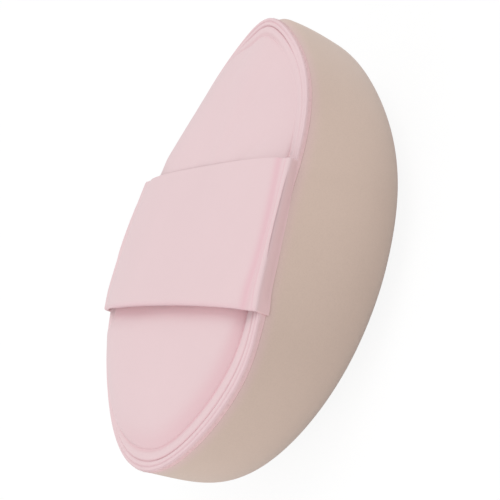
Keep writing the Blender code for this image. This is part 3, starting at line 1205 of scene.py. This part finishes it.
    def binding(self) -> Piece:
        """The binding ring: side strip, rounded lip, fine groove and inner bead.

        Returns:
            The piece, a profile of rings closed as a hoop.
        """
        form = self.form
        shares = np.linspace(0.0, self.binding_share, self.binding_rings)
        lip = form.rim_ring(0.0, -self.edge_round)
        top = [self.rim(share) for share in shares[1:]]
        outer = form.rim_ring(0.0, 0.0)
        down = form.strip_height + form.drop(outer[:, 0], outer[:, 1] - form.centre_y)
        side = [form.rim_ring(0.0, -down * part - self.edge_round * (1 - part))
                for part in self.strip_shares]
        inner = [form.rim_ring(self.binding_share, -wall) for wall in self.binding_walls]
        low = form.rim_ring(self.binding_foot, -down)
        # Painted shade in the grooves and seam; the unseen inside is all deep.
        depths = [self.relief_shade(share) for share in shares[1:]]
        tone = [0.0] * (len(side) + 1) + depths + [1.0] * (len(inner) + 1)
        near = 1 - ramp(form.rightward, *self.strip_turn)
        nap = [near * part for part in self.strip_nap] + [0.0] * (len(top) + len(inner)) + [1.0]
        obj = loft("rim_binding", [*side, lip, *top, *inner, low], self.finishes.binding.material(),
                   ring_closed=True, tones={"groove": tone, "nap": nap})
        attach(obj, "pad")
        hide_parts("edge_binding")
        return obj

    def nap(self) -> Piece:
        """Short fibres that stand out of the strip's cut side, each a slim three-sided spike.

        Returns:
            The piece. A fibre's root lies in the strip, at a random turn and height, and its point
            is the root moved outwards, a little along the rim and a little up or down.
        """
        form, count = self.form, self.nap_count
        rng = np.random.default_rng(self.nap_seed)
        upper = form.rim_ring(0.0, -self.edge_round)
        free = form.past_band(upper[:, 1] - form.centre_y) > self.nap_clear
        spot = rng.choice(np.flatnonzero(free), count)
        along = np.roll(upper, -1, axis=0)[spot] - upper[spot]
        root = upper[spot] + along * rng.random((count, 1))
        root[:, 2] -= rng.random(count) * (form.strip_height - 2 * self.edge_round)
        along /= np.linalg.norm(along, axis=1, keepdims=True)
        up = np.broadcast_to([0.0, 0.0, 1.0], along.shape)
        out = np.cross(along, up)
        lean = rng.uniform(-self.nap_lean, self.nap_lean, (count, 2))
        way = out + along * lean[:, :1] + up * lean[:, 1:] * self.nap_lean_up
        way /= np.linalg.norm(way, axis=1, keepdims=True)
        size = self.nap_length * rng.uniform(self.nap_shortest, 1.0, (count, 1))
        root = root - out * self.nap_width
        corners = [root + self.nap_width * (np.cos(angle) * along + np.sin(angle) * up)
                   for angle in self.nap_corners]
        verts = np.stack([*corners, root + way * size], axis=1)
        faces = np.array([(0, 1, 3), (1, 2, 3), (2, 0, 3), (0, 2, 1)])
        faces = (np.arange(count)[:, None, None] * 4 + faces).reshape(-1, 3)
        obj = mesh_piece("edge_nap", verts.reshape(-1, 3), faces, self.finishes.nap.material())
        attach(obj, "pad")
        return obj


@dataclass
class FingerBand:
    """The band across the back: a leather ply and a lining ply, each made as two halves.

    The halves meet on the pad's middle line. Each arches from its end on the pad's side to its
    middle. A ridge or painted shade has its place, half width and height or level. The crests and
    folds are given at the heel edge and the tip edge. The lining's thinning is the share that it
    loses and where that begins. The other pairs say where a step begins and how long it runs.
    """

    form: PadForm
    finishes: Finishes
    ply: float = 0.75 * MM
    pressed_ply: float = 0.55 * MM
    ply_press: Pair = (0.7, 0.3)
    lining_ply: float = 0.60 * MM
    lining_gap: float = 0.02 * MM
    lining_thinning: Pair = (0.6, 0.8)
    lining_setback: float = 0.18 * MM
    crests: Pair = (6.55 * MM, 4.65 * MM)
    folds: Pair = (3.18 * MM, 2.9 * MM)
    fold_bulge: float = 0.30 * MM
    ledge: float = 2.2 * MM
    ledge_heel_gain: float = 1.9 * MM
    ledge_tip_gain: float = 0.6 * MM
    ledge_rise: float = 0.42 * MM
    ledge_rise_heel_gain: float = 0.9 * MM
    valley_dent: float = 0.12 * MM
    valley_width: float = 0.9 * MM
    arch_power: float = 2.5
    arch_power_gain: float = 0.8
    end_wall: float = 0.15 * MM
    lean: float = 0.35 * MM
    fold_round: float = 0.45 * MM
    paring: float = 0.95
    pared_across: Pair = (0.86, 0.12)
    pared_along: Pair = (0.9, 0.4)
    settle: float = 0.45 * MM
    settle_in: float = 0.45 * MM
    settle_run: float = 0.1
    turn_down: float = 2.6 * MM
    turn_down_tip_loss: float = 0.6 * MM
    hem_round: float = 0.45 * MM
    side_gap: float = 0.01 * MM
    skew: float = 0.35 * MM
    far_lean: float = 0.6 * MM
    far_slant: float = 0.5 * MM
    far_point: float = 0.4 * MM
    ridges: tuple[Triple, ...] = ((0.22, 0.10, 0.10 * MM), (0.56, 0.11, 0.13 * MM))
    ridge_fade: Pair = (0.72, -0.24)
    ridge_least: float = 0.4
    tone_shift: float = 0.8 * MM
    # Painted shade in the valley, the fine groove and along the heel hem: place, half width and
    # level.
    painted_valley_shade: Triple = (0.0, 0.9 * MM, 0.8)
    painted_groove_shade: Triple = (0.39, 0.07, 0.55)
    painted_hem_shading: Triple = (0.1 * MM, 0.4 * MM, 0.35)
    tones_end: float = 2.2
    cut_side: Pair = (2.6, 0.8)
    lift_start: float = 24.0 * MM
    lift_end: float = 6.0 * MM
    edge_points: int = 7
    flat_points: int = 61
    station_counts: tuple[int, ...] = (60, 34, 10, 12)

    def fold_height(self, t: Points) -> Points:
        """Height of the fold over the rim's plane; t is 0 at the heel edge, 1 at the tip edge."""
        return between(*self.folds, t) + self.fold_bulge * 4 * t * (1 - t)

    def ledge_width(self, t: Points) -> Points:
        """Width of the ledge between the arch and the fold, widest at the heel edge."""
        return self.ledge + self.ledge_heel_gain * (1 - t) ** 4 + self.ledge_tip_gain * t**4

    def surface(self, along: Points, y: Points) -> Points:
        """The band's upper face on its right half.

        Args:
            along: Place along the band: 0 to 1 over the arch, 1 to 2 over the ledge, 2 to 3 round
                the fold, 3 to 4 down the side.
            y: Place across the band, in the pad's own frame.

        Returns:
            Points, in the shape of along and y: an arch that falls with a power of the place, a
            ledge with two fine ridges that falls as 1.5 s less half s cubed, a quarter round, and a
            side that leans in to the pad.
        """
        form, radius = self.form, self.fold_round
        t = form.across_band(y)
        arch, shelf, bend, side = (np.clip(along - start, 0, 1) for start in range(4))
        settled = bell(t, self.settle_run)
        reach = form.span(y) - self.settle_in * settled
        fold = self.fold_height(t) - self.settle * settled
        crest = between(*self.crests, t)
        ledge = self.ledge_width(t)
        foot = fold + self.ledge_rise + self.ledge_rise_heel_gain * np.clip(1 - t, 0, 1) ** 4

        arch_x = (reach - ledge) * arch
        arch_z = foot + (crest - foot) * (1 - arch ** (self.arch_power + self.arch_power_gain * t))
        arch_z = arch_z - self.valley_dent * bell(reach - ledge - arch_x, self.valley_width)
        inward = between(ledge, radius, shelf)
        ledge_z = foot - (foot - fold) * shelf * (1.5 - 0.5 * shelf**2)
        ledge_z = ledge_z - self.valley_dent * bell(ledge - inward, self.valley_width)
        fold_x = reach - radius * (1 - np.sin(bend * QUARTER))
        fold_z = fold - radius * (1 - np.cos(bend * QUARTER))
        fade = between(self.ridge_least, 1, slope(t, *self.ridge_fade))
        for ridge in self.ridges:
            ledge_z = ledge_z + fade * hump(inward / ledge, ridge)
            fold_z = fold_z + fade * hump((reach - fold_x) / ledge, ridge) * np.cos(bend * QUARTER)

        down = side * (self.turn_down - self.turn_down_tip_loss * t**2 - radius)
        side_z = fold - radius - down
        depth = form.rise(form.free_reach(y), y) - side_z - form.stack
        lean_in = form.side_reach(y, np.clip(depth / form.dome_depth, 0, 1))
        lean_in = lean_in + self.wall(along) + self.side_gap
        side_x = between(reach, np.minimum(lean_in, reach), side)
        zones = [along <= 1, along <= 2, along <= 3]
        x = np.select(zones, [arch_x, reach - inward, fold_x], side_x)
        z = np.select(zones, [arch_z, ledge_z, fold_z], side_z)
        return np.stack([x, y + form.centre_y, form.rim_z + z], axis=-1)

    def wall(self, along: Points) -> Points:
        """Thickness of the outer ply: full over the pad, pressed on the ledge, thin at the side."""
        full = between(self.ply, self.pressed_ply, slope(along, *self.ply_press))
        return full + (self.end_wall - self.pressed_ply) * np.clip(along - 3, 0, 1)

    def lining_wall(self, along: Points, last: float) -> Points:
        """Thickness of the inner ply, which thins out towards its end at last."""
        loss, start = self.lining_thinning
        return self.lining_ply * (1 - loss * slope(along, start, last - start))

    def pared(self, along: Points, t: Points) -> Points:
        """Share of a ply's thickness that is left where its tip edge is pared to meet the crown."""
        return 1 - self.paring * ramp(t, *self.pared_across) * (1 - ramp(along, *self.pared_along))

    def tones(self, side: Side, along: Points, y: Points, face: Points) -> dict[str, Points]:
        """The colouring: painted shade along the heel hem and, at the right, in the valley and fine
        groove.

        Args:
            side: The half to colour.
            along: Places along the band.
            y: Places across the band.
            face: The upper face there.

        Returns:
            The painted shade as the groove attribute, and the nap tone of the cut side at the right.
        """
        form = self.form
        t = form.across_band(y)
        ledge = self.ledge_width(t)
        inward = form.span(y) - face[..., 0]
        valley = hump(inward - ledge + self.tone_shift * (1 - t), self.painted_valley_shade)
        groove = hump(inward / ledge, self.painted_groove_shade)
        hem = hump(t * form.band_width, self.painted_hem_shading) * (along < self.cut_side[0])
        near = float(side is Side.RIGHT)
        # The valley and groove values here are painted shade, as is the hem's.
        relief = near * np.maximum(valley, groove) * (along < self.tones_end)
        return {"groove": np.maximum(relief, hem), "nap": near * ramp(along, *self.cut_side)}

    def section(self, half_width: float) -> tuple[Points, Points]:
        """The round-edged section of a ply, as places across it and shares of its thickness.

        Args:
            half_width: Half the ply's width.

        Returns:
            The places and the shares: the upper face from edge to edge, then the lower face back.
            Each edge is a half ellipse as high as the ply.
        """
        angle = np.linspace(0, QUARTER, self.edge_points)
        inner = half_width - self.hem_round
        flat = np.linspace(-inner, inner, self.flat_points)[1:-1]
        edge = inner + self.hem_round * np.sin(angle)
        drop = 0.5 * (1 - np.cos(angle))
        y = np.concatenate([-edge[::-1], flat, edge])
        share = np.concatenate([drop[::-1], np.zeros(len(flat)), drop])
        return np.concatenate([y, y[::-1]]), np.concatenate([share, 1 - share[::-1]])

    def stations(self, last: float) -> Points:
        """Places along the band for the mesh.

        Args:
            last: Where the ply ends.

        Returns:
            The places from the band's middle to last, evenly spaced in each of its four parts.
        """
        counts = enumerate(self.station_counts)
        every = np.unique(np.concatenate([np.linspace(n, n + 1, count) for n, count in counts]))
        return every[every <= last]

    def points(self, side: Side, u: Points, y: Points, face: Points, depth: Points) -> Points:
        """Points of a half, square below its upper face, mirrored and leaned for its side.

        Args:
            side: The half to make.
            u: Places along the band.
            y: Places across the band.
            face: The upper face there.
            depth: How far below the face each point lies.

        Returns:
            The points. The whole band leans to the left towards its tip edge and is skewed, and the
            left end leans out further and slants at its heel edge.
        """
        form = self.form
        t = form.across_band(y)
        upto = self.surface(u + 1e-4, y) - self.surface(u - 1e-4, y)
        normal = np.cross(upto, self.surface(u, y + 1e-6) - face)
        normal /= np.linalg.norm(normal, axis=-1, keepdims=True)
        points = face - normal * depth[..., None]
        start = np.clip(u, 0, 1)
        points[..., 0] = points[..., 0] * side.value - self.lean * t * start
        slant = side.value * self.skew * face[..., 0] / form.tip_span * t
        if side is Side.LEFT:
            out = self.far_lean * np.clip(t, 0, 1) ** 1.5
            out = out + (self.settle_in + self.far_point) * bell(t, self.settle_run)
            points[..., 0] -= out * start
            heelward = np.clip(1 - t, 0, 1) ** 3
            slant = slant + self.far_slant * (face[..., 0] / form.heel_span) ** 4 * heelward
        points[..., 1] += slant
        return points

    def ply_mesh(self, name: str, side: Side, lining: bool, last: float, mat: Material) -> Piece:
        """One half of a ply: its section carried along the band, with both ends closed.

        Args:
            name: The piece's name.
            side: The half to make.
            lining: True for the inner ply, which lies under the outer one.
            last: Where along the band the ply ends.
            mat: The finish.

        Returns:
            The piece, in place.
        """
        across, share = self.section(self.form.band_width / 2 - self.lining_setback * lining)
        u, y = np.meshgrid(self.stations(last), self.form.band_place + across, indexing="ij")
        face = self.surface(u, y)
        remains = self.pared(u, self.form.across_band(y))
        if lining:
            above = self.wall(u) * remains + self.lining_gap
            depth = above + share * self.lining_wall(u, last) * remains
        else:
            depth = share * self.wall(u) * remains
        points = self.points(side, u, y, face, depth)
        rows, count = points.shape[:2]
        index = np.arange(rows * count).reshape(rows, count)
        nxt = np.roll(index, -1, axis=1)
        shell = np.stack([index[:-1], nxt[:-1], nxt[1:], index[1:]], axis=-1).reshape(-1, 4)
        first = np.arange(count // 2 - 1)
        corners = np.stack([first, first + 1, count - 2 - first, count - 1 - first], axis=-1)
        caps = [index[0][corners][:, ::-1], index[-1][corners]]
        return mesh_piece(name, points.reshape(-1, 3), np.concatenate([shell, *caps]), mat,
                          tones=self.tones(side, u, y, face))

    def half(self, side: Side, leather: Material, lining: Material) -> list[Piece]:
        """Both plies of one half, arched from the pad's side to the middle.

        Args:
            side: The half to make.
            leather: The outer ply's finish.
            lining: The inner ply's finish.

        Returns:
            The two pieces.
        """
        word = side.name.lower()
        outer = self.ply_mesh(f"band_{word}_half", side, False, 4.0, leather)
        inner = self.ply_mesh(f"band_lining_{word}_half", side, True, 1.0, lining)
        for obj in (outer, inner):
            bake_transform(obj)
        nodes = {Side.RIGHT: ("finger_band", "band_end_right"), Side.LEFT: ("band_end_left",)}
        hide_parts(*nodes[side])
        if side is Side.RIGHT:
            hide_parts("band_lining")
        return [outer, inner]

    def build(self) -> list[Piece]:
        """Build both halves of the band.

        Returns:
            The four pieces.
        """
        leather = self.finishes.band.material()
        lining = self.finishes.lining.material()
        return [*self.half(Side.RIGHT, leather, lining), *self.half(Side.LEFT, leather, lining)]


@dataclass
class Studio:
    """Floor, lights, world and camera of the picture."""

    form: PadForm
    eye: Triple = (277.142 * MM, -59.011 * MM, 137.356 * MM)
    turn: Triple = (-0.319686, -1.05131, -0.147664)
    lens: float = 135.41
    sensor: float = 36.0
    clip: Pair = (0.01, 20.0)
    floor_size: float = 3.0
    floor_drop: float = 0.2 * MM
    floor_colour: Colour = (215, 215, 215)
    floor_glow: float = 1.07
    floor_glow_share: float = 0.85
    world_level: float = 0.69
    key_place: Triple = (0.13, 0.42, 0.70)
    key_power: float = 2.0
    fill_place: Triple = (0.0, -0.6, 0.3)
    fill_power: float = 1.05
    light_size: float = 0.5

    def camera(self) -> None:
        """The camera, where the photograph was taken from: a place and a turn vector."""
        data = bpy.data.cameras.new("studio_camera")
        data.lens = self.lens
        data.sensor_width = self.sensor
        data.clip_start, data.clip_end = self.clip
        obj = linked("studio_camera", data)
        vector = Vector(self.turn)
        view = Matrix.Rotation(vector.length, 3, vector.normalized())
        obj.matrix_world = view.transposed().to_4x4()
        obj.location = Vector(self.eye) + Vector((0, self.form.centre_y, self.form.rim_z))
        bpy.context.scene.camera = obj

    def floor(self) -> None:
        """A wide floor that the camera sees as nearly pure white, with a soft shadow on it."""
        half = self.floor_size / 2
        corners = [(-half, -half, 0), (half, -half, 0), (half, half, 0), (-half, half, 0)]
        mesh = bpy.data.meshes.new("studio_floor")
        mesh.from_pydata(corners, [], [(0, 1, 2, 3)])
        obj = linked("studio_floor", mesh)
        obj.location = (0, 0, -self.floor_drop)
        mat = bpy.data.materials.new("studio_floor")
        mat.use_nodes = True
        graph, nodes = Graph(mat.node_tree), mat.node_tree.nodes
        shader = nodes["Principled BSDF"]
        graph.feed(shader, {"Base Color": linear(self.floor_colour), "Roughness": 0.9,
                            "Specular IOR Level": 0.1})
        glow = graph.add("Emission", "Emission", {"Color": WHITE, "Strength": self.floor_glow})
        seen = graph.product(graph.add("LightPath", "Is Camera Ray"), self.floor_glow_share)
        mix = graph.add("MixShader", "Shader", {"Fac": seen, 1: shader.outputs["BSDF"], 2: glow})
        graph.feed(nodes["Material Output"], {"Surface": mix})
        mesh.materials.append(mat)

    def world(self) -> None:
        """A white world: full white to the camera, a plain level to the puff."""
        world = bpy.data.worlds.new("studio_world")
        world.use_nodes = True
        graph = Graph(world.node_tree)
        seen = graph.add("LightPath", "Is Camera Ray")
        level = graph.add("MapRange", "Result", {"Value": seen, "To Min": self.world_level})
        graph.feed(world.node_tree.nodes["Background"], {"Color": WHITE, "Strength": level})
        bpy.context.scene.world = world

    def light(self, name: str, place: Triple, power: float) -> None:
        """A square soft light that looks at the puff.

        Args:
            name: The light's name.
            place: Where it stands.
            power: Its power in watts.
        """
        data = bpy.data.lights.new(name, "AREA")
        data.energy = power
        data.size = self.light_size
        obj = linked(name, data)
        aim = Vector((0, 0, self.form.rim_z)) - Vector(place)
        turned = aim.to_track_quat("-Z", "Y").to_matrix().to_4x4()
        obj.matrix_world = Matrix.Translation(place) @ turned

    def build(self) -> None:
        """Set up everything round the puff."""
        self.floor()
        self.world()
        self.light("key_light", self.key_place, self.key_power)
        self.light("fill_light", self.fill_place, self.fill_power)
        self.camera()
        bpy.context.scene.view_settings.view_transform = "Standard"


def main() -> None:
    """Build the studio, then the puff from the inside out."""
    logging.basicConfig(level=logging.INFO, format="%(name)s: %(message)s")
    form = PadForm()
    finishes = Finishes()
    Studio(form).build()
    pad = SpongePad(form, finishes)
    back = PressedBack(form, finishes)
    band = FingerBand(form, finishes)
    pieces = [pad.core(), pad.film(), pad.skin(), back.wadding(), back.cover(), back.binding(),
              back.nap(), *band.build()]
    for piece in pieces:
        LOG.info("%s: %d faces", piece.name, len(piece.data.polygons))
    bpy.context.view_layer.update()


if __name__ == "__main__":
    main()
